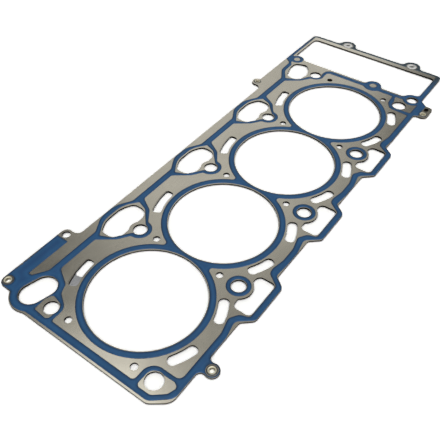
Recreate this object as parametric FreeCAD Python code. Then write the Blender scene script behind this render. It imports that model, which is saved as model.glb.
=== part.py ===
import FreeCAD, Part
import math
import os

# Cylinder head gasket for four cylinders in line: three steel sheets with rubber seals on both faces.
# Frame: origin on the axis of the first bore, at the face that lies on the cylinder block.
# X runs along the bores towards the timing case frame, Y towards the upper ports, Z up. Millimetres.

# Bores, head bolts and coolant drillings
BORE_PITCH = 98.0
BORE_COUNT = 4
BORE_WEB = 4.4
BOLT_Y = 50.0
BOLT_R = 6.0
DOWEL_R = 7.0
DRILLING_Y = 32.0
DRILLING_R = 3.0

# Stack from the block face up
SEAL_T = 0.3
BOTTOM_T = 0.4
CARRIER_T = 1.1
TOP_T = 0.4

# Coolant slots, concentric with the bores and this far from their edges, angles in degrees
LOW_SLOT_GAP = 7.3
LOW_SLOT_W = 8.4
LOW_SLOT_FROM = 11.8
LOW_SLOT_TO = 34.8
UP_SLOT_GAP = 7.5
UP_SLOT_W = 7.6
UP_SLOT_LEDGE = 0.7
UP_SLOT_CORNER = 2.8
UP_SLOT_FROM = 88.9
UP_SLOT_TO = 116.4
METERED_SLOT_TO = 105.5

# Ports above the head bolts, measured from the bolt
BOLT_WALL = 3.3
PORT_LEFT = 20.9
PORT_RIGHT = 19.7
PORT_RISE = 7.4
PORT_SIDE = 16.9
PORT_CROWN = 6.0
PORT_ROUND = 9.5

# Ports below the head bolts, measured from the wide boss of the bolt
LOW_WALL = 5.8
LOW_LOBE_LEFT = 6.6
LOW_LOBE_RIGHT = 5.8
LOW_PORT_DROP = 6.6
LOW_PORT_DEPTH = 16.2

# Port ahead of the first bore: a slot between two circles, the right one measured from the bolt
END_PORT_R = 9.9
END_PORT_X = 10.5
END_PORT_Y = 18.8
END_PORT_RUN = 10.4
END_PORT_LIFT = 2.7
END_PORT_WALL = 7.2

# Edges of the sheets, measured from the end bolts or from each other
END_MARGIN = 15.3
LOW_MARGIN = 19.4
HIGH_MARGIN = 36.9
TAB_LEFT = 7.7
TAB_LENGTH = 70.8
TAB_RISE = 14.0
LOBE_LEFT = 18.9
LOBE_RIGHT = 17.9
LOBE_DROP = 8.8
FOOT_LEFT = 6.5
FOOT_LENGTH = 21.4
FOOT_DROP = 12.1

# Timing case frame, measured from the last bolts
FRAME_START = 18.9
FRAME_LENGTH = 51.2
FRAME_LOW = 10.6
FRAME_HIGH = 39.8
LOW_RAIL_W = 5.4
HIGH_RAIL_W = 5.5
SIDE_RAIL_W = 8.6
LUG_OUT = 1.3
LUG_HIGH = 50.9
LUG_LOW = -30.1
LUG_R = 9.5
RING_TOP_R = 8.2
RING_TOP_DROP = 5.8
RING_MID_Y = -11.4
RING_MID_R = 8.9
RING_LOW_R = 10.4
RING_LOW_RISE = 3.3
RING_LOW_HOLE_R = 5.5

# Locating hole and eyelets
TAB_HOLE_R = 3.6
TAB_HOLE_IN = 5.5
EYELET_TAB_R = 5.8
EYELET_FLANGE_R = 4.1
EYELET_SHANK_R = 3.1
EYELET_HOLE_R = 2.0
EYELET_ROLL = 0.8
EYELET_LIP = 0.5
EYELET_DROP = 7.0
CORNER_EYELET_OUT = 1.0
FOOT_EYELET_OUT = 0.7
LOW_EYELET_X = -20.2
LOOP_X = 293.6
LUG_FLANGE_R = 5.9
FLANGE_T = 0.5
FOOT_SLOT_LENGTH = 7.0
FOOT_SLOT_W = 4.4
FOOT_SLOT_IN = 6.2

# Seals
BORE_SEAL_GAP = 0.6
BORE_SEAL_W = 5.2
WEB_FILLET = 2.5
BOLT_SEAL_GAP = 0.4
BOLT_SEAL_W = 3.5
BAND_W = 6.2
BAND_DROP = 8.8
LOW_BAND_W = 5.4
EDGE_MARGIN = 0.2
RAIL_SEAL_W = 3.0
FUNNEL_SEAL_W = 3.7
HOLE_GAP = 0.4

# Places that follow from the sizes
HALF_PITCH = BORE_PITCH / 2
BORE_R = HALF_PITCH - BORE_WEB / 2
LAST_BOLT_X = BORE_PITCH * (BORE_COUNT - 0.5)
BOTTOM_Z = SEAL_T
CARRIER_Z = BOTTOM_Z + BOTTOM_T
TOP_Z = CARRIER_Z + CARRIER_T
UPPER_SEAL_Z = TOP_Z + TOP_T
BOLT_BOSS_R = BOLT_R + BOLT_WALL
PORT_BOTTOM = BOLT_Y + PORT_RISE
PORT_SHOULDER = PORT_BOTTOM + PORT_SIDE
PORT_TOP = PORT_SHOULDER + PORT_CROWN
LOW_BOSS_R = BOLT_R + LOW_WALL
LOW_PORT_LEFT = -LOW_BOSS_R - LOW_LOBE_LEFT
LOW_PORT_RIGHT = LOW_BOSS_R + LOW_LOBE_RIGHT
LOW_PORT_TOP = -BOLT_Y - LOW_PORT_DROP
LOW_PORT_BOTTOM = LOW_PORT_TOP - LOW_PORT_DEPTH
END_PORT = ((END_PORT_X - HALF_PITCH, BOLT_Y + END_PORT_Y),
            (END_PORT_X - HALF_PITCH - END_PORT_RUN, BOLT_Y + END_PORT_Y + END_PORT_LIFT))
EDGE_LEFT = -HALF_PITCH - END_MARGIN
EDGE_BOTTOM = -BOLT_Y - LOW_MARGIN
EDGE_TOP = BOLT_Y + HIGH_MARGIN
TAB_X = -HALF_PITCH - TAB_LEFT
TAB_TOP = EDGE_TOP + TAB_RISE
TAB_END = TAB_X + TAB_LENGTH
LOBE_BOTTOM = EDGE_BOTTOM - LOBE_DROP
FOOT_X = LAST_BOLT_X - FOOT_LEFT
FOOT_END = FOOT_X + FOOT_LENGTH
FOOT_BOTTOM = EDGE_BOTTOM - FOOT_DROP
FRAME_LEFT = LAST_BOLT_X + FRAME_START
FRAME_RIGHT = FRAME_LEFT + FRAME_LENGTH
FRAME_BOTTOM = -BOLT_Y - FRAME_LOW
FRAME_TOP = BOLT_Y + FRAME_HIGH
RAIL_BOTTOM = FRAME_BOTTOM - LOW_RAIL_W
RAIL_TOP = FRAME_TOP + HIGH_RAIL_W
RAIL_RIGHT = FRAME_RIGHT + SIDE_RAIL_W
LUGS = ((RAIL_RIGHT + LUG_OUT, LUG_LOW), (RAIL_RIGHT + LUG_OUT, LUG_HIGH))
RING_TOP = (FRAME_LEFT - 2.2, FRAME_TOP - RING_TOP_DROP)
RING_MID = (FRAME_LEFT - 0.6, RING_MID_Y)
RING_LOW = (FRAME_LEFT - 2.1, FRAME_BOTTOM + RING_LOW_RISE)
TAB_HOLE = (TAB_END - TAB_HOLE_IN, TAB_TOP - TAB_HOLE_IN)
CORNER_EYELET = (TAB_X + EYELET_TAB_R, TAB_TOP - EYELET_TAB_R + CORNER_EYELET_OUT)
LOW_EYELET = (LOW_EYELET_X, EDGE_BOTTOM - EYELET_DROP)
LOOP_EYELET = (LOOP_X, RAIL_TOP)
FOOT_EYELET = (FOOT_X + EYELET_TAB_R, FOOT_BOTTOM + EYELET_TAB_R - FOOT_EYELET_OUT)
EYELETS = (CORNER_EYELET, LOW_EYELET, LOOP_EYELET, FOOT_EYELET)
BAND_TOP = EDGE_TOP - BAND_DROP
BAND_LOW = BAND_TOP - BAND_W
BAND_BOTTOM = EDGE_BOTTOM + LOW_BAND_W
Vector = FreeCAD.Vector


def bore_x(bore):
    return BORE_PITCH * bore


def bolt_x(bay):
    """Bolts stand midway between bores; bay -1 comes before the first bore."""
    return BORE_PITCH * (bay + 0.5)


def at(centre_x, radius, degrees):
    """Corner place at a radius and angle about a bore."""
    angle = math.radians(degrees)
    return centre_x + radius * math.cos(angle), radius * math.sin(angle)


# Outlines: corners (x, y, radius) joined by straight lines and rounded each by its radius

def corner_arc(before, here, after):
    """Start, middle and end of the arc that rounds one corner."""
    point = Vector(here[0], here[1], 0)
    back = Vector(before[0], before[1], 0) - point
    ahead = Vector(after[0], after[1], 0) - point
    back.normalize()
    ahead.normalize()
    half = back.getAngle(ahead) / 2
    reach = here[2] / math.tan(half)
    middle = (back + ahead).normalize() * (here[2] / math.sin(half) - here[2])
    return point + back * reach, point + middle, point + ahead * reach


def outline(corners):
    count = len(corners)
    arcs = [corner_arc(corners[i - 1], corners[i], corners[(i + 1) % count]) for i in range(count)]
    edges = []
    for i in range(count):
        start, middle, end = arcs[i]
        edges.append(Part.Arc(start, middle, end).toShape())
        following = arcs[(i + 1) % count][0]
        if end.distanceToPoint(following) > 0.001:
            edges.append(Part.LineSegment(end, following).toShape())
    return Part.Wire(edges)


def field(corners):
    return Part.Face(outline(corners))


def disc(place, radius):
    return Part.Face(Part.Wire(Part.makeCircle(radius, Vector(place[0], place[1], 0))))


def moved(corners, dx):
    return [(x + dx, y, r) for x, y, r in corners]


def wrap(centre, radius, start, end):
    """Corners whose rounding follows a circle from one angle to another, either way round."""
    steps = max(1, math.ceil(abs(end - start) / (0.6 * math.pi)))
    step = (end - start) / steps
    reach = radius / math.cos(step / 2)
    corners = []
    for i in range(steps):
        angle = start + (i + 0.5) * step
        corners.append((centre[0] + reach * math.cos(angle), centre[1] + reach * math.sin(angle), radius))
    return corners


def boss_root(place, heading, centre, radius, fillet, side):
    """Filleted corner between a straight edge and a round boss, and the angle where the boss takes over."""
    along = Vector(heading[0], heading[1], 0).normalize()
    out = Vector(along.y, -along.x, 0)
    start = Vector(place[0], place[1], 0)
    middle = Vector(centre[0], centre[1], 0)
    rise = fillet - (middle - start).dot(out)
    towards = along * (side * math.sqrt((radius + fillet) ** 2 - rise ** 2)) + out * rise
    towards.normalize()
    touch = middle + towards * radius
    tangent = Vector(-towards.y, towards.x, 0)
    corner = touch - tangent * ((touch - start).dot(out) / tangent.dot(out))
    return (corner.x, corner.y, fillet), math.atan2(towards.y, towards.x)


def boss(place, heading, centre, radius, fillet, leave=None, leave_heading=None, leave_fillet=None):
    """Corners of a round boss on the right-hand side of a straight edge, or between two edges."""
    first, start = boss_root(place, heading, centre, radius, fillet, -1)
    last, end = boss_root(leave or place, leave_heading or heading, centre, radius, leave_fillet or fillet, 1)
    while end < start:
        end += 2 * math.pi
    return [first] + wrap(centre, radius, start, end) + [last]


# Sheet edges

def sheet_outline():
    """Anticlockwise from the lower left corner."""
    corners = [(EDGE_LEFT, EDGE_BOTTOM + 13.2, 8.0), (EDGE_LEFT + 10.0, EDGE_BOTTOM, 10.0)]
    corners += boss((0, EDGE_BOTTOM), (1, 0), LOW_EYELET, EYELET_TAB_R, 4.0)
    lobe = [(-LOBE_LEFT - 7.9, EDGE_BOTTOM, 4.5), (-LOBE_LEFT, LOBE_BOTTOM, 5.5),
            (LOBE_RIGHT, LOBE_BOTTOM, 6.0), (LOBE_RIGHT + 6.8, EDGE_BOTTOM, 4.0)]
    for bay in range(BORE_COUNT - 1):
        corners += moved(lobe, bolt_x(bay))
    corners += [(FOOT_X, EDGE_BOTTOM, 4.0), (FOOT_X, FOOT_BOTTOM, EYELET_TAB_R), (FOOT_END, FOOT_BOTTOM, 4.5),
                (FOOT_END, FOOT_BOTTOM + 8.0, 4.0), (FOOT_END + 6.6, RAIL_BOTTOM, 5.0),
                (RAIL_RIGHT, RAIL_BOTTOM, 5.5)]
    for lug in LUGS:
        corners += boss((RAIL_RIGHT, 0), (0, 1), lug, LUG_R, 5.0)
    corners += [(RAIL_RIGHT, RAIL_TOP, 6.0)]
    first, start = boss_root((0, RAIL_TOP), (-1, 0), LOOP_EYELET, EYELET_TAB_R, 1.5, -1)
    corners += [first] + wrap(LOOP_EYELET, EYELET_TAB_R, start, math.pi)
    corners += [(LOOP_X - EYELET_TAB_R, EDGE_TOP + 4.1, 3.0), (LOOP_X - 9.6, EDGE_TOP, 4.0),
                (TAB_END, EDGE_TOP, 5.5), (TAB_END, TAB_TOP, 5.4), (TAB_X, TAB_TOP, EYELET_TAB_R)]
    corners += boss((TAB_X, 0), (0, -1), END_PORT[1], END_PORT_R + END_PORT_WALL, 5.0,
                    (EDGE_LEFT, 0), (0, -1), 6.0)
    return corners


def frame_opening():
    """Clockwise, so that its bosses lie on the right-hand side."""
    corners = [(FRAME_RIGHT, FRAME_TOP, 5.0), (FRAME_RIGHT, FRAME_BOTTOM, 4.0)]
    corners += boss((0, FRAME_BOTTOM), (-1, 0), RING_LOW, RING_LOW_R, 4.0, (FRAME_LEFT, 0), (0, 1), 5.0)
    corners += boss((FRAME_LEFT, 0), (0, 1), RING_MID, RING_MID_R, 4.0)
    corners += boss((FRAME_LEFT, 0), (0, 1), RING_TOP, RING_TOP_R, 5.0, (0, FRAME_TOP), (1, 0), 3.0)
    return corners


# Ports and slots

def upper_port():
    """Clockwise: arched above, its lower edge lifted round the head bolt."""
    shoulder_r = PORT_ROUND - 3.0
    corners = [(PORT_RIGHT, PORT_BOTTOM, PORT_ROUND)]
    corners += boss((0, PORT_BOTTOM), (-1, 0), (0, BOLT_Y), BOLT_BOSS_R, 3.0)
    corners += [(-PORT_LEFT, PORT_BOTTOM, PORT_ROUND), (-PORT_LEFT, PORT_SHOULDER, shoulder_r),
                (11.4 - PORT_LEFT, PORT_TOP, 20.0), (PORT_RIGHT - 10.7, PORT_TOP, 20.0),
                (PORT_RIGHT, PORT_SHOULDER, shoulder_r)]
    return corners


def lower_port():
    """Anticlockwise: two lobes that rise either side of the bolt, cut by its boss."""
    corners = [(LOW_PORT_LEFT, LOW_PORT_BOTTOM, 4.0), (LOW_PORT_RIGHT, LOW_PORT_BOTTOM, 4.0),
               (LOW_PORT_RIGHT, LOW_PORT_TOP, 5.0)]
    first, start = boss_root((0, LOW_PORT_TOP), (1, 0), (0, -BOLT_Y), LOW_BOSS_R, 2.0, 1)
    last, end = boss_root((0, LOW_PORT_TOP), (1, 0), (0, -BOLT_Y), LOW_BOSS_R, 2.0, -1)
    corners += [first] + wrap((0, -BOLT_Y), LOW_BOSS_R, start, end) + [last]
    corners += [(LOW_PORT_LEFT, LOW_PORT_TOP, 4.5)]
    return corners


def end_port():
    right, left = END_PORT
    tilt = math.atan2(right[1] - left[1], right[0] - left[0])
    return (wrap(right, END_PORT_R, tilt - math.pi / 2, tilt + math.pi / 2)
            + wrap(left, END_PORT_R, tilt + math.pi / 2, tilt + 3 * math.pi / 2))


def frame_port():
    """Port ahead of the timing frame, which narrows to the left. Measured from the last upper bolt."""
    corners = [(-21.1, 17.5, 6.0), (-17.5, 10.0, 6.0), (-6.0, 7.7, 10.0), (5.0, 12.0, 8.0),
               (12.2, 18.6, 5.0), (8.2, 30.9, 6.0), (-2.0, 31.4, 12.0), (-19.5, 25.8, 4.5)]
    return [(LAST_BOLT_X + x, BOLT_Y + y, r) for x, y, r in corners]


def sector(centre_x, inner, outer, corner, start, end):
    """Slot between two radii about a bore, from one angle to another, with rounded corners."""
    outer_lean = math.degrees(math.asin(corner / (outer - corner)))
    inner_lean = math.degrees(math.asin(corner / (inner + corner)))
    outer_reach = outer / math.cos(math.radians(outer_lean))
    inner_reach = inner / math.cos(math.radians(inner_lean))
    centre = (centre_x, 0)
    corners = wrap(centre, outer, math.radians(start + outer_lean), math.radians(end - outer_lean))
    corners += [at(centre_x, outer_reach, end) + (corner,), at(centre_x, inner_reach, end) + (corner,)]
    corners += wrap(centre, inner, math.radians(end - inner_lean), math.radians(start + inner_lean))
    corners += [at(centre_x, inner_reach, start) + (corner,), at(centre_x, outer_reach, start) + (corner,)]
    return corners


def slots(bore, upper_end, ledge):
    x = bore_x(bore)
    low = BORE_R + LOW_SLOT_GAP
    high = BORE_R + UP_SLOT_GAP
    spans = [(270 + LOW_SLOT_FROM, 270 + LOW_SLOT_TO), (270 - LOW_SLOT_TO, 270 - LOW_SLOT_FROM)]
    faces = [field(sector(x, low, low + LOW_SLOT_W, 0.47 * LOW_SLOT_W, start, end)) for start, end in spans]
    faces.append(field(sector(x, high, high + UP_SLOT_W + ledge, UP_SLOT_CORNER, UP_SLOT_FROM, upper_end)))
    return faces


def bolts(grow=0.0):
    """Head bolt holes; the lower one at each end also takes a dowel."""
    faces = []
    for bay in range(-1, BORE_COUNT):
        low_r = DOWEL_R if bay in (-1, BORE_COUNT - 1) else BOLT_R
        faces.append(disc((bolt_x(bay), BOLT_Y), BOLT_R + grow))
        faces.append(disc((bolt_x(bay), -BOLT_Y), low_r + grow))
    return faces


def drillings(closed):
    """Coolant drillings beside the bolts, without the last ones where a sheet closes them."""
    places = [(bolt_x(bay), side * DRILLING_Y) for bay in range(-1, BORE_COUNT) for side in (-1, 1)]
    return [disc(place, DRILLING_R) for place in places[:len(places) - closed]]


def ports():
    faces = [field(end_port()), field(frame_port())]
    for bay in range(BORE_COUNT - 1):
        faces.append(field(moved(upper_port(), bolt_x(bay))))
        faces.append(field(moved(lower_port(), bolt_x(bay))))
    return faces


def sheet_face(ledge=0, first_slot_to=UP_SLOT_TO, closed_drillings=0):
    """Flat face of a sheet. Its upper slots widen by the ledge, and its last drillings may be closed."""
    holes = [disc((bore_x(bore), 0), BORE_R) for bore in range(BORE_COUNT)]
    for bore in range(BORE_COUNT):
        holes += slots(bore, UP_SLOT_TO if bore else first_slot_to, ledge)
    holes += bolts() + drillings(closed_drillings) + ports()
    holes += [disc(place, EYELET_SHANK_R) for place in EYELETS + LUGS]
    holes += [disc(TAB_HOLE, TAB_HOLE_R), disc(RING_LOW, RING_LOW_HOLE_R), field(frame_opening())]
    return field(sheet_outline()).cut(holes)


def foot_slot():
    """Round-ended blind slot in the foot, closed below by the bottom sheet."""
    half = FOOT_SLOT_W / 2
    reach = FOOT_SLOT_LENGTH / 2 - half
    x = FOOT_END - FOOT_SLOT_IN
    y = FOOT_BOTTOM + 5.3
    return field(wrap((x + reach, y), half, -math.pi / 2, math.pi / 2)
                 + wrap((x - reach, y), half, math.pi / 2, 3 * math.pi / 2))


# Seals

def bore_seal_face():
    """Rings round the bores, run together at the webs between them."""
    inner = BORE_R + BORE_SEAL_GAP
    outer = inner + BORE_SEAL_W
    lean = math.atan2(math.sqrt((outer + WEB_FILLET) ** 2 - HALF_PITCH ** 2), HALF_PITCH)
    web = (outer - HALF_PITCH * math.cos(lean)) / math.sin(lean)
    last = BORE_COUNT - 1
    corners = wrap((0, 0), outer, lean, 2 * math.pi - lean)
    for bore in range(1, BORE_COUNT):
        stop = 2 * math.pi - lean if bore < last else 3 * math.pi - lean
        corners += [(bore_x(bore) - HALF_PITCH, -web, WEB_FILLET)]
        corners += wrap((bore_x(bore), 0), outer, math.pi + lean, stop)
    for bore in range(last, 0, -1):
        if bore < last:
            corners += wrap((bore_x(bore), 0), outer, lean, math.pi - lean)
        corners += [(bore_x(bore) - HALF_PITCH, web, WEB_FILLET)]
    return field(corners).cut([disc((bore_x(bore), 0), inner) for bore in range(BORE_COUNT)])


def bolt_seal_faces():
    """Rings round the lower bolts between the ports' lobes."""
    faces = []
    for bay in range(BORE_COUNT - 1):
        place = (bolt_x(bay), -BOLT_Y)
        inner = BOLT_R + BOLT_SEAL_GAP
        faces.append(disc(place, inner + BOLT_SEAL_W).cut(disc(place, inner)))
    return faces


def seal_outline():
    """Outer edge of the perimeter seal, anticlockwise from the lower left corner."""
    left = EDGE_LEFT + 1.6
    low = EDGE_BOTTOM + EDGE_MARGIN
    corners = [(left, EDGE_BOTTOM + 13.7, 8.0), (EDGE_LEFT + 13.1, low, 9.0)]
    corners += boss((0, low), (1, 0), LOW_EYELET, EYELET_TAB_R - EDGE_MARGIN, 4.4)
    lobe = [(-23.7 - LOBE_LEFT, low, 20.0), (-9.4 - LOBE_LEFT, low + 3.0, 5.0),
            (EDGE_MARGIN - LOBE_LEFT, LOBE_BOTTOM + EDGE_MARGIN, 5.0),
            (LOBE_RIGHT - 1.5 * EDGE_MARGIN, LOBE_BOTTOM + EDGE_MARGIN, 5.5),
            (LOBE_RIGHT + 7.3, low + 1.2, 4.0), (LOBE_RIGHT + 21.6, low, 20.0)]
    for bay in range(BORE_COUNT - 1):
        corners += moved(lobe, bolt_x(bay))
    heel = FOOT_BOTTOM + 8.2
    corners += [(FOOT_X + EDGE_MARGIN, low, 3.5), (FOOT_X + EDGE_MARGIN, heel, 0.6),
                (FOOT_END - 0.5, heel, 1.0), (FOOT_END + 6.3, RAIL_BOTTOM + EDGE_MARGIN, 5.0),
                (RAIL_RIGHT - EDGE_MARGIN, RAIL_BOTTOM + EDGE_MARGIN, 5.0)]
    for lug in LUGS:
        corners += boss((RAIL_RIGHT - EDGE_MARGIN, 0), (0, 1), lug, LUG_R - EDGE_MARGIN, 5.0)
    top = RAIL_TOP - EDGE_MARGIN
    corners += [(RAIL_RIGHT - EDGE_MARGIN, top, 5.5), (LAST_BOLT_X + 11.0, top, 4.0),
                (LAST_BOLT_X + 5.4, top - 7.5, 6.0), (LAST_BOLT_X - 12.5, BAND_TOP + 8.9, 16.0),
                (LAST_BOLT_X - 27.5, BAND_TOP, 6.0)]
    arch = [(22.0, BAND_TOP, 6.0), (8.5, EDGE_TOP - 0.6, 18.0), (-9.5, EDGE_TOP - 0.6, 18.0),
            (-23.8, BAND_TOP, 6.0)]
    for bay in reversed(range(BORE_COUNT - 1)):
        corners += moved(arch, bolt_x(bay))
    corners += [(-25.7, BAND_TOP, 4.0), (-36.9, BAND_TOP + 7.0, 1.0), (-36.9, EDGE_TOP + 1.5, 1.0),
                (TAB_END - 10.2, EDGE_TOP + 1.5, 1.0), (TAB_END - 10.2, TAB_TOP - EDGE_MARGIN, 1.0),
                (TAB_X + EDGE_MARGIN, TAB_TOP - EDGE_MARGIN, 5.4)]
    corners += boss((TAB_X + EDGE_MARGIN, 0), (0, -1), END_PORT[1], END_PORT_R + END_PORT_WALL - 0.9, 5.0,
                    (left, 0), (0, -1), 6.0)
    return corners


def funnel(last=False):
    """Lower edge of the seal round an upper bolt, X from the bolt. The last one goes straight on."""
    shoulder = PORT_BOTTOM + 0.3
    entry = (1.1 - PORT_LEFT, shoulder)
    downhill = (8.7, -6.0)
    corners = [(-30.5, BAND_LOW, 3.0), entry + (8.0,)]
    if last:
        return corners + boss(entry, downhill, (0, BOLT_Y), BOLT_BOSS_R, 3.0, (0, BOLT_Y - 8.9), (1, 0), 3.0)
    leave = (PORT_RIGHT + 2.2, shoulder + 0.8)
    seal_r = BOLT_R + BOLT_SEAL_GAP + FUNNEL_SEAL_W
    corners += boss(entry, downhill, (0, BOLT_Y), seal_r, 3.0, leave, (9.5, 6.9), 3.0)
    return corners + [leave + (9.0,), (29.8, BAND_LOW, 4.0)]


def jacket_cell():
    """Bare field round the bores inside the perimeter seal, clockwise from the upper left."""
    left = EDGE_LEFT + 7.4
    side = FRAME_LEFT - 7.2
    low = LOW_PORT_BOTTOM - HOLE_GAP
    corners = [(left, BOLT_Y - 9.1, 2.0), (-43.6, BOLT_Y - 9.1, 9.0), (-35.5, BOLT_Y + 3.7, 5.0),
               (-27.6, BOLT_Y + 7.2, 5.0), (-19.2, BAND_LOW, 5.0)]
    for bay in range(BORE_COUNT - 1):
        corners += moved(funnel(), bolt_x(bay))
    corners += moved(funnel(True), LAST_BOLT_X)
    corners += [(side, BOLT_Y - 8.9, 4.0)]
    corners += boss((side, 0), (0, -1), RING_MID, RING_MID_R + 1.5, 4.0)
    corners += [(side, 12.6 - BOLT_Y, 2.5), (LAST_BOLT_X - 2.0, 11.8 - BOLT_Y, 10.0),
                (LAST_BOLT_X - 10.4, 6.5 - BOLT_Y, 6.0), (LAST_BOLT_X - 11.8, BAND_BOTTOM, 2.5)]
    lobe = [(41.3, BAND_BOTTOM, 20.0), (29.8, BAND_BOTTOM + 2.3, 8.0), (24.2, BAND_BOTTOM + 1.6, 6.0),
            (LOW_PORT_RIGHT - 1.3, low, 4.0), (LOW_PORT_LEFT - 0.3, low, 3.0),
            (-21.2, BAND_BOTTOM - 1.5, 6.0), (-28.7, BAND_BOTTOM + 3.3, 5.0), (-41.6, BAND_BOTTOM, 20.0)]
    for bay in reversed(range(BORE_COUNT - 1)):
        corners += moved(lobe, bolt_x(bay))
    corners += [(-38.6, BAND_BOTTOM, 4.5), (-38.6, 11.5 - BOLT_Y, 10.0), (left, 11.5 - BOLT_Y, 3.0)]
    return corners


def port_cell():
    """Bare field round an upper port and its bolt, X from the bolt."""
    crown = PORT_TOP + 1.2
    return [(-PORT_LEFT - 4.0, BAND_LOW + 0.6, 1.0), (-PORT_LEFT, PORT_BOTTOM + 5.2, 8.0),
            (-7.4, BOLT_Y + 3.0, 2.0), (-2.5, BOLT_Y - 4.0, 5.0), (3.2, BOLT_Y - 4.0, 5.0),
            (8.2, BOLT_Y + 1.3, 3.0), (PORT_RIGHT + 0.6, PORT_BOTTOM + 5.0, 8.0),
            (PORT_RIGHT + 4.2, BAND_LOW + 0.3, 1.0), (12.0, crown, 22.0), (-11.0, crown, 22.0)]


def frame_cell():
    """Bare field of the timing frame and the port beside it, clockwise from the tip of that port."""
    line_y = RAIL_TOP - EDGE_MARGIN - RAIL_SEAL_W
    line_x = RAIL_RIGHT - EDGE_MARGIN - RAIL_SEAL_W
    bottom = FRAME_BOTTOM - EDGE_MARGIN
    side = FRAME_LEFT - 2.05
    bolt = LAST_BOLT_X
    corners = [(bolt - 25.1, BOLT_Y + 23.9, 0.8), (bolt - 12.5, BOLT_Y + 32.7, 14.0),
               (bolt + 2.6, BOLT_Y + 32.9, 6.0)]
    corners += boss((RING_TOP[0] - 12.1, RING_TOP[1] + 0.4), (2.7, 2.0), RING_TOP, RING_TOP_R - 0.8, 1.4,
                    (0, line_y), (1, 0), 1.4)
    corners += [(line_x, line_y, 2.2), (line_x, bottom, 2.2)]
    corners += boss((0, bottom), (-1, 0), RING_LOW, RING_LOW_R - EDGE_MARGIN, 4.4, (side, 0), (0, 1), 5.0)
    corners += boss((side, 0), (0, 1), RING_MID, RING_MID_R - EDGE_MARGIN, 4.0)
    corners += [(side, BOLT_Y - 5.1, 8.0), (bolt - 4.1, BOLT_Y - 5.1, 5.0), (bolt - 7.7, BOLT_Y + 4.3, 3.0),
                (bolt - 19.7, BOLT_Y + 10.5, 8.0)]
    return corners


def bolt_cells():
    """Bare fields beside the end bolts: upper left, lower left and lower right."""
    left = -HALF_PITCH
    upper = [(left - 8.0, BOLT_Y + 9.0, 1.5), (left - 9.0, BOLT_Y - 5.4, 3.0),
             (left + 5.6, BOLT_Y - 6.4, 6.0), (left + 8.8, BOLT_Y + 7.0, 2.5), (left + 2.5, BOLT_Y + 9.6, 3.0)]
    lower = [(left - 9.5, 7.8 - BOLT_Y, 3.0), (left - 9.4, -4.5 - BOLT_Y, 6.0),
             (left - 2.0, -13.2 - BOLT_Y, 3.0), (left + 5.0, -15.6 - BOLT_Y, 2.5),
             (left + 7.2, -11.5 - BOLT_Y, 2.0), (left + 6.5, 7.4 - BOLT_Y, 6.0)]
    right = [(-6.6, -14.9, 1.5), (10.6, -14.9, 0.6), (12.9, -2.0, 0.6), (12.7, 10.0, 1.5), (1.5, 6.9, 3.0),
             (-6.6, 4.0, 3.0)]
    corner = field([(LAST_BOLT_X + x, y - BOLT_Y, r) for x, y, r in right])
    return [field(upper), field(lower), corner.cut(disc(RING_LOW, RING_LOW_R - 0.8))]


def perimeter_seal_face():
    """Band round the whole gasket, the ports and the timing frame."""
    cells = [field(jacket_cell()), field(frame_cell())] + bolt_cells()
    cells += [field(moved(port_cell(), bolt_x(bay))) for bay in range(BORE_COUNT - 1)]
    cells += [Part.Face(outline(end_port()).makeOffset2D(HOLE_GAP))] + bolts(BOLT_SEAL_GAP)
    cells += [disc(place, LUG_FLANGE_R + HOLE_GAP) for place in LUGS]
    cells += [disc(place, EYELET_FLANGE_R + HOLE_GAP) for place in (CORNER_EYELET, LOW_EYELET)]
    cells += [disc(RING_TOP, 3.6), disc(RING_MID, 3.7), disc(RING_LOW, RING_LOW_HOLE_R + HOLE_GAP)]
    return field(seal_outline()).cut(cells)


# Solids

def slab(face, bottom, thickness):
    solid = face.extrude(Vector(0, 0, thickness))
    solid.translate(Vector(0, 0, bottom))
    return solid


def eyelet(x, y, flange_r):
    """Hollow rivet: a flat flange below the stack, and a rounded one above that rolls into the hole."""
    crest_r = EYELET_HOLE_R + EYELET_ROLL
    crest = UPPER_SEAL_Z + FLANGE_T
    profile = [(EYELET_HOLE_R, crest - EYELET_LIP), (EYELET_HOLE_R, 0), (flange_r, 0), (flange_r, BOTTOM_Z),
               (EYELET_SHANK_R, BOTTOM_Z), (EYELET_SHANK_R, UPPER_SEAL_Z), (flange_r, UPPER_SEAL_Z)]
    points = [Vector(r, 0, z) for r, z in profile]
    edges = [Part.LineSegment(a, b).toShape() for a, b in zip(points, points[1:])]
    top = Vector(crest_r, 0, crest)
    slope = Vector((flange_r + crest_r) / 2, 0, crest - FLANGE_T / 4)
    throat = Vector(crest_r - EYELET_ROLL / 2, 0, crest - EYELET_LIP / 4)
    edges.append(Part.Arc(points[-1], slope, top).toShape())
    edges.append(Part.Arc(top, throat, points[0]).toShape())
    solid = Part.Face(Part.Wire(edges)).revolve(Vector(0, 0, 0), Vector(0, 0, 1), 360)
    solid.translate(Vector(x, y, 0))
    return solid


def top_sheet():
    return slab(sheet_face(UP_SLOT_LEDGE).cut(foot_slot()), TOP_Z, TOP_T)


def carrier_sheet():
    return slab(sheet_face().cut(foot_slot()), CARRIER_Z, CARRIER_T)


def bottom_sheet():
    """The lowest sheet meters the first upper slot and closes the last drilling."""
    return slab(sheet_face(0, METERED_SLOT_TO, 1), BOTTOM_Z, BOTTOM_T)


def eyelets():
    return Part.Compound([eyelet(x, y, EYELET_FLANGE_R) for x, y in EYELETS])


def lug_eyelets():
    return Part.Compound([eyelet(x, y, LUG_FLANGE_R) for x, y in LUGS])


def seal_set(name, bottom):
    return {
        "bore_seal_" + name: slab(bore_seal_face(), bottom, SEAL_T),
        "perimeter_seal_" + name: slab(perimeter_seal_face(), bottom, SEAL_T),
        "bolt_seals_" + name: Part.Compound([slab(face, bottom, SEAL_T) for face in bolt_seal_faces()]),
    }


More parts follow.
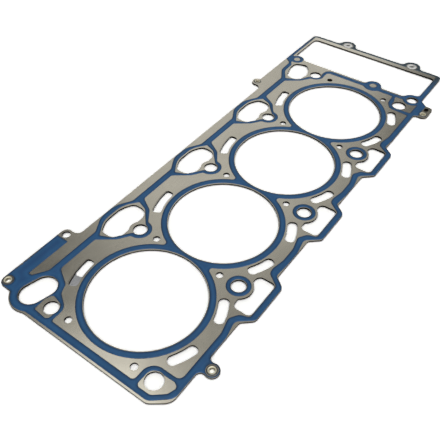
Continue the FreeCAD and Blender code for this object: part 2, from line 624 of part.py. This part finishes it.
def save():
    parts = {"top_sheet": top_sheet(), "carrier_sheet": carrier_sheet(), "bottom_sheet": bottom_sheet(),
             "eyelets": eyelets(), "lug_eyelets": lug_eyelets()}
    parts.update(seal_set("upper", UPPER_SEAL_Z))
    parts.update(seal_set("lower", 0))
    os.makedirs("parts", exist_ok=True)
    for node, shape in parts.items():
        shape.exportStep("parts/" + node + ".step")
        print(node, shape.isValid(), len(shape.Solids), round(shape.Volume, 1))


save()
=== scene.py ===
import math

import bpy
import numpy as np
from mathutils import Matrix, Vector, kdtree
from mathutils.bvhtree import BVHTree
from mathutils.geometry import delaunay_2d_cdt


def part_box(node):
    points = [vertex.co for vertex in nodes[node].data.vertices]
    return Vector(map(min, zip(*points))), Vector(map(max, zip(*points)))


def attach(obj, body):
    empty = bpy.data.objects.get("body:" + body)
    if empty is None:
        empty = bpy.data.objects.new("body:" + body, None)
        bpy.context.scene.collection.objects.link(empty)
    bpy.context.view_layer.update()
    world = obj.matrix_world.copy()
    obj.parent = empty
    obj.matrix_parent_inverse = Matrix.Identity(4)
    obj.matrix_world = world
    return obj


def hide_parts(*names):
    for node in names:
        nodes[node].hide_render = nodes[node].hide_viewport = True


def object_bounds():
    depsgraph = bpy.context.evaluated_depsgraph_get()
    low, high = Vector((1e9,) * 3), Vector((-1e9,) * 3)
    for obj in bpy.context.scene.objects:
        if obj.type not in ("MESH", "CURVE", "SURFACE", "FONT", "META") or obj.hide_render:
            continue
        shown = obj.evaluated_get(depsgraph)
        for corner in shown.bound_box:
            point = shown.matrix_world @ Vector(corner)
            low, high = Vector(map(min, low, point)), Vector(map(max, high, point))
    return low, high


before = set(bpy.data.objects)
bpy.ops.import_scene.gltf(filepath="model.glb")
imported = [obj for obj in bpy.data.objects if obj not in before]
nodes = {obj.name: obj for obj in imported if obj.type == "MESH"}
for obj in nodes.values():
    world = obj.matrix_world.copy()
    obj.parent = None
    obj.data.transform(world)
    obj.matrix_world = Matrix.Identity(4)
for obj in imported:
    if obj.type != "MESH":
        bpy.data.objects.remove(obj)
cad_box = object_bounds()
scene = bpy.context.scene
MM = 0.001

# Photograph camera: pixels of focal length in a frame 440 wide, place in millimetres, right and up axes
FRAME_PX = 440
FOCAL_PX = 572.6
CAMERA_AT = (-175.1, -196.41, 349.83)
CAMERA_RIGHT = (0.590708, -0.806885, 0.000176)
CAMERA_UP = (0.579202, 0.424176, 0.696132)
SENSOR = 36.0
CLIP = (0.01, 20)

# Noise of each finish: how fine it is, and its detail
GRAIN = (2200, 2.0)
TARNISH = (22, 4.0)
STEEL_GLOSS = (60, 3.0)
RUBBER_PATCHES = (45, 4.0)
RUBBER_GLOSS = (120, 2.0)
RUBBER_GRIT = (1500, 2.0)
EYELET_MOTTLE = (700, 3.0)
EYELET_GLOSS = (300, 2.0)
EYELET_GRIT = (1200, 2.0)
FLOOR_CLOUDS = (3, 2.0)
# Where such noise reaches a finish's lower and upper tone, and the depth of its relief in metres
CLOUD_LOW = 0.3
CLOUD_HIGH = 0.7
RELIEF = 0.00002
# Colours that change along the part do so within this length from its origin, in metres
REACH = 0.5

# Sheet steel: the grain is drawn out along the strip, and grain and tarnish darken it by these shares
GRAIN_STRETCH = (0.05, 1, 1)
GRAIN_DARK = 0.88
TARNISH_SPAN = (0.35, 0.65)
TARNISH_DARK = 0.9
STEEL_ROUGHNESS = (0.17, 0.23)
STEEL_METALLIC = 0.85
STEEL_SPECULAR = 0.5
STEEL_RELIEF = 0.12
# Between these places along the part, in metres, a sheet's far colour takes over, a painted shade for its
# deep recesses
FAR_SHADE_SPAN = (0.025, 0.225)
# Each sheet's material, the colours of its faces and of its cut edges, and the far colour if it has one;
# the cut edges are dark as a painted shade inside holes and slots
SHEETS = {
    "top_sheet": ("steel", (0.56, 0.53, 0.45), (0.14, 0.13, 0.11), None),
    "carrier_sheet": ("core_steel", (0.5, 0.48, 0.42), (0.012, 0.01, 0.008), None),
    # The bottom sheet's far colour is near black, a painted shade where it shows in deep recesses further
    # along the part
    "bottom_sheet": ("low_steel", (0.74, 0.75, 0.78), (0.04, 0.035, 0.03), (0.05, 0.045, 0.04)),
}

# Seal rubber: its colours from the border of a bead to the middle of a broad one, dark at the border as a
# painted shade and palest near the crest as a painted highlight
RUBBER_SHADING_TONES = (
    (0.0, (0.004, 0.02, 0.05)),
    (0.11, (0.009, 0.074, 0.2)),
    (0.38, (0.018, 0.127, 0.325)),
    (1.0, (0.011, 0.093, 0.265)),
)
RUBBER_SHADES = (0.86, 1.06)
RUBBER_ROUGHNESS = (0.42, 0.56)
RUBBER_SPECULAR = 0.45
RUBBER_RELIEF = 0.2
# The timing frame's far rail is greyer, a painted sheen, from one place along the part to another, in
# metres
SHEEN_SPAN = (0.385, 0.415)
SHEEN_COLOUR = (0.03, 0.06, 0.085)

# Each set of eyelets: material, colour, roughness, and the radius of its dark rim of painted shade in
# millimetres
EYELETS = {
    "eyelets": ("eyelet_brass", (0.97, 0.9, 0.68), (0.25, 0.4), 3.3),
    "lug_eyelets": ("eyelet_steel", (0.9, 0.9, 0.88), (0.18, 0.3), 5.6),
}
EYELET_DARK = 0.8
EYELET_METALLIC = 0.25
EYELET_RELIEF = 0.15
# Colour of that rim, a painted shade where the flange meets the sheet
RIM_SHADE_COLOUR = (0.06, 0.065, 0.07)
# Width of the rim's soft edge, and the radius that the colours are laid out over, in millimetres
RIM_BLEND = 0.4
RIM_REACH = 10.0
# The eyelets of a set lie further apart than this, in metres
SOLIDS_APART = 0.02

# Seal bead, in millimetres from its border: its shoulder, its slow rise, and the span of its colours, which
# paint its shade and highlight
SHOULDER_W = 0.9
RISE_W = 2.7
SHADING_W = 6.0
# Shares of its height: the wall at its border, and what the shoulder gives of the rest
WALL_SHARE = 0.12
SHOULDER_SHARE = 0.92
# Its points: their distance in millimetres, and as shares of it that of their rows and from the border
POINT_STEP = 0.8
ROW_SHARE = 0.866
BORDER_SHARE = 0.45
# What is this near to the flat face lies on it, and points this near to each other are one, in millimetres
ON_FACE = 0.001
SAME_POINT = 1e-5
# The solid's own points: heights this near are the same, in metres, and so are places to this many digits
SAME_LEVEL = 1e-6
PLACE_DIGITS = 7

# Floor: half its width, its middle and how far it is below the part, in metres, and its finish
FLOOR_HALF = 6.0
FLOOR_MIDDLE = (0.18, 0)
FLOOR_DROP = 0.00002
FLOOR_TONES = (0.28, 0.32)
FLOOR_ROUGHNESS = 0.9
FLOOR_SPECULAR = 0.2
# The floor as the camera sees it is this much paler than its surroundings make it
FLOOR_GAIN = 2.1

# Brightness and colour of the surroundings
SKY = 0.13
SKY_COLOUR = (1, 1, 0.98)
# Soft patches of light in them: height, bearing, inner and outer radius, all in degrees, and brightness
PATCHES = (
    (62, 64, 3, 9.5, 1.6),
    (68, 48, 2, 16, 0.52),
    (38, 37, 4, 20, 0.74),
    (78, 230, 8, 36, 1.6),
    (23, 21, 1, 8.5, 1.5),
)
# Key light: where it stands, its spread in degrees, and its strength
KEY_FROM = (-0.6, -0.8, 0.03)
KEY_SPREAD = 3
KEY_STRENGTH = 7.0


def make_camera():
    data = bpy.data.cameras.new("camera")
    data.sensor_width = SENSOR
    data.lens = FOCAL_PX / FRAME_PX * SENSOR
    data.clip_start, data.clip_end = CLIP
    camera = bpy.data.objects.new("camera", data)
    scene.collection.objects.link(camera)
    right = Vector(CAMERA_RIGHT).normalized()
    up = Vector(CAMERA_UP)
    up = (up - right * up.dot(right)).normalized()
    back = right.cross(up)
    turn = Matrix((right, up, back)).transposed().to_4x4()
    camera.matrix_world = Matrix.Translation(Vector(CAMERA_AT) * MM) @ turn
    scene.camera = camera


# Materials

def grey(value):
    return (value, value, value)


def darker(colour, share):
    return tuple(share * c for c in colour)


class Tree:
    """Shader nodes of a material or of the surroundings."""

    def __init__(self, owner):
        owner.use_nodes = True
        self.owner = owner
        self.nodes = owner.node_tree.nodes
        self.links = owner.node_tree.links
        self.shader = self.nodes.get("Principled BSDF")

    def feed(self, node, name, value):
        """Gives a node's input a value, or the result of another node."""
        socket = node.inputs[name]
        if isinstance(value, bpy.types.NodeSocket):
            self.links.new(value, socket)
        elif socket.type == "RGBA":
            socket.default_value = (*value, 1)
        else:
            socket.default_value = value

    def feed_all(self, node, inputs):
        for key, value in inputs.items():
            self.feed(node, key.replace("_", " "), value)

    def surface(self, **inputs):
        self.feed_all(self.shader, inputs)

    def add(self, kind, settings=None, **inputs):
        node = self.nodes.new("ShaderNode" + kind)
        for key, value in (settings or {}).items():
            setattr(node, key, value)
        self.feed_all(node, inputs)
        return node

    def math(self, operation, first, second):
        node = self.add("Math", {"operation": operation})
        self.feed(node, 0, first)
        self.feed(node, 1, second)
        return node.outputs[0]

    def vector(self, operation, first, second):
        """A number for a distance or a dot product, and a vector for the rest."""
        node = self.add("VectorMath", {"operation": operation})
        self.feed(node, 0, first)
        self.feed(node, 1, second)
        return node.outputs["Value" if operation in ("DISTANCE", "DOT_PRODUCT") else "Vector"]

    def ramp(self, value, *stops):
        node = self.nodes.new("ShaderNodeValToRGB")
        self.links.new(value, node.inputs[0])
        band = node.color_ramp.elements
        while len(band) < len(stops):
            band.new(0.5)
        for element, (place, colour) in zip(band, stops):
            element.position = place
            element.color = (*colour, 1)
        return node.outputs[0]

    def share(self, value, low, high):
        """0 up to the low value, 1 from the high one."""
        return self.ramp(value, (low, grey(0)), (high, grey(1)))

    def mix(self, share, first, second, blend="MIX"):
        """Mix of two colours, which are the node's inputs 6 and 7."""
        node = self.add("Mix", {"data_type": "RGBA", "blend_type": blend})
        self.feed(node, 0, share)
        self.feed(node, 6, first)
        self.feed(node, 7, second)
        return node.outputs[2]

    def place(self):
        """Where a point lies on the part, in metres."""
        return self.add("TexCoord").outputs["Object"]

    def share_along(self, span):
        """0 before the first place along the part, 1 after the second."""
        along = self.add("SeparateXYZ", None, Vector=self.place()).outputs["X"]
        start, end = span
        return self.share(self.math("DIVIDE", along, REACH), start / REACH, end / REACH)

    def noise(self, fineness, stretch=(1, 1, 1)):
        scale, detail = fineness
        mapped = self.add("Mapping", None, Vector=self.place(), Scale=stretch).outputs[0]
        return self.add("TexNoise", None, Vector=mapped, Scale=scale, Detail=detail).outputs["Fac"]

    def clouds(self, fineness, low, high):
        """Soft patches between two colours."""
        return self.ramp(self.noise(fineness), (CLOUD_LOW, low), (CLOUD_HIGH, high))

    def grey_clouds(self, fineness, span):
        low, high = span
        return self.clouds(fineness, grey(low), grey(high))

    def flat_share(self):
        """1 on faces that look up or down, 0 on walls."""
        normal = self.add("NewGeometry").outputs["True Normal"]
        upright = self.add("SeparateXYZ", None, Vector=normal).outputs["Z"]
        return self.math("GREATER_THAN", self.math("ABSOLUTE", upright, 0.0), 0.5)

    def bump(self, height, strength):
        node = self.add("Bump", None, Height=height, Strength=strength, Distance=RELIEF)
        self.surface(Normal=node.outputs[0])


def steel(name, face, wall, far_shade):
    """Rolled spring steel: a faint grain along the strip, uneven tarnish, cut edges darkened as a painted
    shade, and a far colour of painted shade where a sheet has one.
    """
    t = Tree(bpy.data.materials.new(name))
    grain = t.noise(GRAIN, GRAIN_STRETCH)
    low, high = TARNISH_SPAN
    tarnish = t.ramp(t.noise(TARNISH), (low, darker(face, TARNISH_DARK)), (high, face))
    colour = t.mix(t.share(grain, CLOUD_LOW, CLOUD_HIGH), darker(face, GRAIN_DARK), tarnish)
    # Along the part the face turns to the far colour, a painted shade of the deep recesses
    if far_shade:
        colour = t.mix(t.share_along(FAR_SHADE_SPAN), colour, far_shade)
    flat = t.flat_share()
    # On walls the colour is the dark cut-edge colour, a painted shade inside holes and slots
    t.surface(
        Base_Color=t.mix(flat, wall, colour),
        Metallic=t.math("MULTIPLY", flat, STEEL_METALLIC),
        Specular_IOR_Level=t.math("MULTIPLY", flat, STEEL_SPECULAR),
        Roughness=t.grey_clouds(STEEL_GLOSS, STEEL_ROUGHNESS),
    )
    t.bump(grain, STEEL_RELIEF)
    return t.owner


def rubber():
    """Printed seal rubber: a finely matt blue bead, darker along its borders as a painted shade, paler near
    its crest as a painted highlight, and greyer on the far rail as a painted sheen.
    """
    t = Tree(bpy.data.materials.new("seal_rubber"))
    # Share from the bead's border to its middle, which sets the painted shade and highlight
    rise = t.add("Attribute", {"attribute_name": "crown"}).outputs["Fac"]
    # On the far rail the rubber turns greyer, a painted sheen
    tone = t.mix(t.share_along(SHEEN_SPAN), t.ramp(rise, *RUBBER_SHADING_TONES), SHEEN_COLOUR)
    t.surface(
        Base_Color=t.mix(1.0, tone, t.grey_clouds(RUBBER_PATCHES, RUBBER_SHADES), "MULTIPLY"),
        Roughness=t.grey_clouds(RUBBER_GLOSS, RUBBER_ROUGHNESS),
        Specular_IOR_Level=RUBBER_SPECULAR,
    )
    t.bump(t.noise(RUBBER_GRIT), RUBBER_RELIEF)
    return t.owner


def middles(node):
    """Middle of each solid of a node, seen from above."""
    groups = []
    for vertex in node.data.vertices:
        near = [group for group in groups if (group[0] - vertex.co).length < SOLIDS_APART]
        if near:
            near[0].append(vertex.co)
        else:
            groups.append([vertex.co])
    spans = [([co.x for co in group], [co.y for co in group]) for group in groups]
    return [((min(xs) + max(xs)) / 2, (min(ys) + max(ys)) / 2, 0) for xs, ys in spans]


def rivet(node, name, colour, roughness, rim):
    """Mottled eyelet metal with a dark rim of painted shade beyond the rim's radius."""
    t = Tree(bpy.data.materials.new(name))
    flattened = t.vector("MULTIPLY", t.place(), (1, 1, 0))
    nearest = 1.0
    for middle in middles(node):
        nearest = t.math("MINIMUM", t.vector("DISTANCE", flattened, middle), nearest)
    radius = t.math("DIVIDE", nearest, RIM_REACH * MM)
    # Beyond the rim's radius the colour turns to the painted shade
    shaded_rim = t.share(radius, (rim - RIM_BLEND) / RIM_REACH, rim / RIM_REACH)
    mottled = t.clouds(EYELET_MOTTLE, darker(colour, EYELET_DARK), colour)
    t.surface(
        Base_Color=t.mix(shaded_rim, mottled, RIM_SHADE_COLOUR),
        Metallic=EYELET_METALLIC,
        Roughness=t.grey_clouds(EYELET_GLOSS, roughness),
    )
    t.bump(t.noise(EYELET_GRIT), EYELET_RELIEF)
    return t.owner


def dress(piece, material):
    piece.data.materials.clear()
    piece.data.materials.append(material)


# Seals

def sides(ring):
    """Pairs of neighbours round a ring."""
    return zip(ring, ring[1:] + ring[:1])


def flat_face(node, level):
    """Flat face of a seal at a height: points in millimetres, polygons, and border edges as index pairs."""
    mesh = node.data
    places = {}
    points = []
    polygons = []
    counts = {}
    for face in mesh.polygons:
        if any(abs(mesh.vertices[v].co.z - level) > SAME_LEVEL for v in face.vertices):
            continue
        ring = []
        for v in face.vertices:
            co = mesh.vertices[v].co
            key = (round(co.x, PLACE_DIGITS), round(co.y, PLACE_DIGITS))
            if key not in places:
                places[key] = len(points)
                points.append((co.x / MM, co.y / MM))
            ring.append(places[key])
        polygons.append(ring)
        for a, b in sides(ring):
            pair = (min(a, b), max(a, b))
            counts[pair] = counts.get(pair, 0) + 1
    return points, polygons, [pair for pair, seen in counts.items() if seen == 1]


def split_rim(points, edges):
    """The same border with its long edges cut into short ones."""
    points = [Vector(p) for p in points]
    fine = []
    for a, b in edges:
        start, end = points[a], points[b]
        parts = max(1, math.ceil((end - start).length / POINT_STEP))
        last = a
        for k in range(1, parts):
            points.append(start.lerp(end, k / parts))
            fine.append((last, len(points) - 1))
            last = len(points) - 1
        fine.append((last, b))
    return points, fine


def spread(node, level):
    """Even triangles over a seal's flat face: its points in millimetres, faces, and gaps to the border."""
    low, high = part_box(node)
    corners, polygons, border = flat_face(nodes[node], level)
    field = BVHTree.FromPolygons([(x, y, 0) for x, y in corners], polygons)
    points, edges = split_rim(corners, border)
    rim_count = len(points)
    tree = kdtree.KDTree(rim_count)
    for i, p in enumerate(points):
        tree.insert((p.x, p.y, 0), i)
    tree.balance()

    def border_gap(x, y):
        return tree.find((x, y, 0))[2]

    def on_face(x, y):
        return field.find_nearest((x, y, 0))[3] < ON_FACE

    xs = np.arange(low.x / MM, high.x / MM, POINT_STEP)
    ys = np.arange(low.y / MM, high.y / MM, POINT_STEP * ROW_SHARE)
    for row, y in enumerate(ys):
        for x in xs + (row % 2) * POINT_STEP / 2:
            if border_gap(x, y) > POINT_STEP * BORDER_SHARE and on_face(x, y):
                points.append(Vector((x, y)))
    flat, _, faces, origins, _, _ = delaunay_2d_cdt(points, edges, [], 0, SAME_POINT)
    centres = [sum((flat[i] for i in face), Vector((0, 0))) / len(face) for face in faces]
    faces = [face for face, c in zip(faces, centres) if on_face(c.x, c.y)]
    on_rim = [any(i < rim_count for i in source) for source in origins]
    gaps = [0.0 if rim else border_gap(p.x, p.y) for p, rim in zip(flat, on_rim)]
    return flat, faces, gaps


def bead(name, node, side):
    """Crowned bead in place of a flat seal: full in the middle, rounded down to the sheet at borders."""
    low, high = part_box(node)
    foot, crest = (low.z, high.z) if side > 0 else (high.z, low.z)
    flat, faces, gaps = spread(node, crest)
    verts = []
    for p, gap in zip(flat, gaps):
        share = min(gap / SHOULDER_W, 1)
        rounded = math.sqrt(1 - (1 - share) ** 2)
        crown = SHOULDER_SHARE * rounded + (1 - SHOULDER_SHARE) * min(gap / RISE_W, 1)
        height = WALL_SHARE + (1 - WALL_SHARE) * crown
        verts.append((p.x * MM, p.y * MM, foot + (crest - foot) * height))
    # Share from border to middle, kept for the rubber's painted shade and highlight
    shading_shares = [min(gap / SHADING_W, 1) for gap in gaps]
    rim = [i for i, gap in enumerate(gaps) if gap == 0.0]
    below = {i: len(flat) + k for k, i in enumerate(rim)}
    verts += [(verts[i][0], verts[i][1], foot) for i in rim]
    shading_shares += [0.0] * len(rim)
    drawn = dict.fromkeys(pair for face in faces for pair in sides(face))
    free = [(a, b) for a, b in drawn if (b, a) not in drawn and a in below and b in below]
    walls = [(a, below[a], below[b], b) for a, b in free]
    mesh = bpy.data.meshes.new(name)
    mesh.from_pydata(verts, [], [tuple(face) for face in faces] + walls)
    mesh.validate()
    if side < 0:
        mesh.flip_normals()
    for polygon in mesh.polygons[:len(faces)]:
        polygon.use_smooth = True
    attribute = mesh.attributes.new("crown", "FLOAT", "POINT")
    attribute.data.foreach_set("value", np.array(shading_shares, np.float32))
    piece = bpy.data.objects.new(name, mesh)
    scene.collection.objects.link(piece)
    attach(piece, "root")
    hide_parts(node)
    dress(piece, rubber_material)


# Floor and light

def make_floor():
    mesh = bpy.data.meshes.new("floor")
    corners = [(-1, -1), (1, -1), (1, 1), (-1, 1)]
    mesh.from_pydata([(x * FLOOR_HALF, y * FLOOR_HALF, 0) for x, y in corners], [], [(0, 1, 2, 3)])
    floor = bpy.data.objects.new("floor", mesh)
    floor.location = (*FLOOR_MIDDLE, cad_box[0].z - FLOOR_DROP)
    scene.collection.objects.link(floor)
    t = Tree(bpy.data.materials.new("floor"))
    t.surface(
        Base_Color=t.grey_clouds(FLOOR_CLOUDS, FLOOR_TONES),
        Roughness=FLOOR_ROUGHNESS,
        Specular_IOR_Level=FLOOR_SPECULAR,
    )
    paler = t.add("BsdfDiffuse", None, Color=grey(FLOOR_GAIN))
    both = t.add("MixShader")
    t.feed(both, 0, t.add("LightPath").outputs["Is Camera Ray"])
    t.feed(both, 1, t.shader.outputs[0])
    t.feed(both, 2, paler.outputs[0])
    t.feed(t.nodes["Material Output"], "Surface", both.outputs[0])
    dress(floor, t.owner)


def make_key():
    data = bpy.data.lights.new("key", "SUN")
    data.angle = math.radians(KEY_SPREAD)
    data.energy = KEY_STRENGTH
    light = bpy.data.objects.new("key", data)
    light.rotation_euler = Vector(KEY_FROM).to_track_quat("Z", "Y").to_euler()
    scene.collection.objects.link(light)


def make_world():
    """Dim surroundings with soft patches of light, and white past the edge of the floor."""
    t = Tree(bpy.data.worlds.new("studio"))
    view = t.add("TexCoord").outputs["Generated"]
    total = SKY
    for height, bearing, inner, outer, brightness in PATCHES:
        up, turn = math.radians(height), math.radians(bearing)
        middle = (math.cos(up) * math.cos(turn), math.cos(up) * math.sin(turn), math.sin(up))
        fall = t.add(
            "MapRange",
            {"interpolation_type": "SMOOTHSTEP"},
            Value=t.vector("DOT_PRODUCT", view, middle),
            From_Min=math.cos(math.radians(outer)),
            From_Max=math.cos(math.radians(inner)),
            To_Max=brightness,
        )
        total = t.math("ADD", fall.outputs[0], total)
    seen = t.add("LightPath").outputs["Is Camera Ray"]
    background = t.nodes["Background"]
    t.feed(background, "Strength", t.math("MAXIMUM", total, seen))
    t.feed(background, "Color", SKY_COLOUR)
    scene.world = t.owner


scene.view_settings.view_transform = "Standard"
make_camera()
make_floor()
make_world()
make_key()

rubber_material = rubber()
for node, finish in SHEETS.items():
    dress(nodes[node], steel(*finish))
for node, finish in EYELETS.items():
    dress(nodes[node], rivet(nodes[node], *finish))
for label, side in (("upper", 1), ("lower", -1)):
    for kind in ("bore_seal", "perimeter_seal", "bolt_seals"):
        bead(kind + "_bead_" + label, kind + "_" + label, side)
